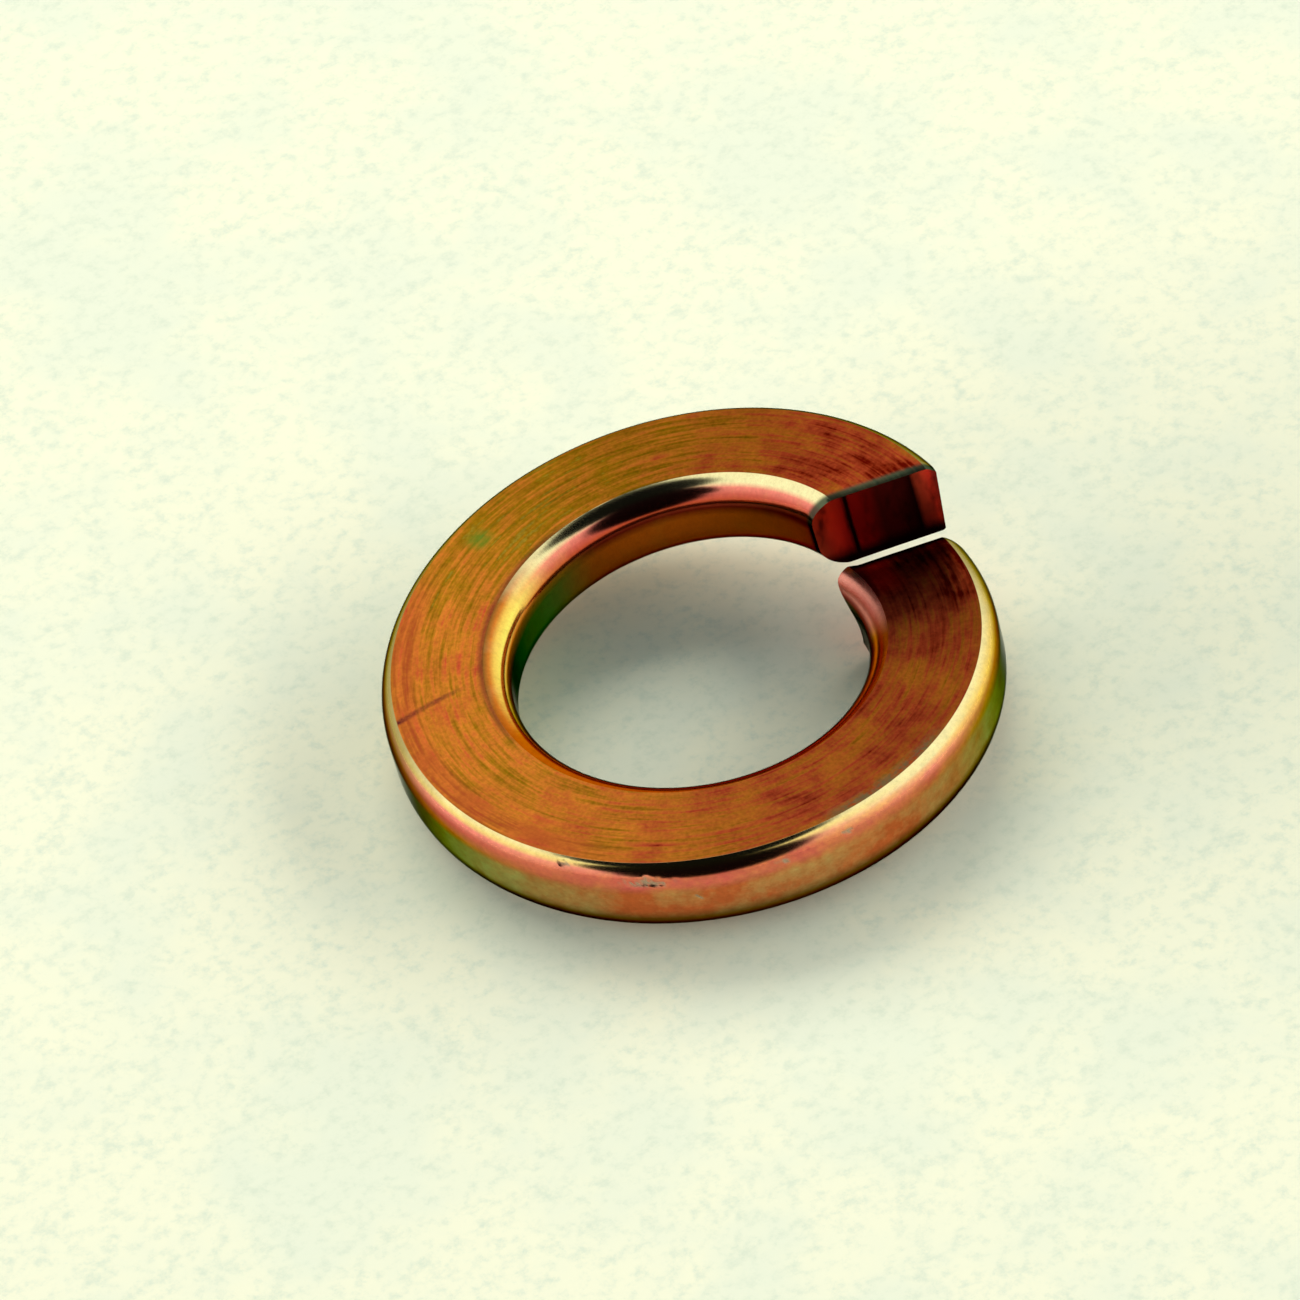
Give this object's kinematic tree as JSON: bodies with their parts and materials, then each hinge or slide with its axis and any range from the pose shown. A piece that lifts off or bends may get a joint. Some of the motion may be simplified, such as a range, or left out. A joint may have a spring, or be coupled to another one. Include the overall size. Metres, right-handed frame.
{
  "type": "spring lock washer",
  "caption": "Split helical spring washer of flat wire with rounded corners and slanting sheared ends, pressed between a screw head or nut and its seat.",
  "frame": {"origin": "on the bore's axis, at the height of the washer's lowest point", "axes": "+Z along the bore's axis, towards the washer's raised end; +X out from the axis through the middle of the split"},
  "size_m": [0.0142, 0.0142, 0.0041],
  "materials": {
    "yellow_zinc_spring_steel": "zinc plate with a yellow iridescent chromate film over brushed spring steel"
  },
  "bodies": {
    "root": {"spring_lock_washer": "yellow_zinc_spring_steel"}
  },
  "joints": []
}
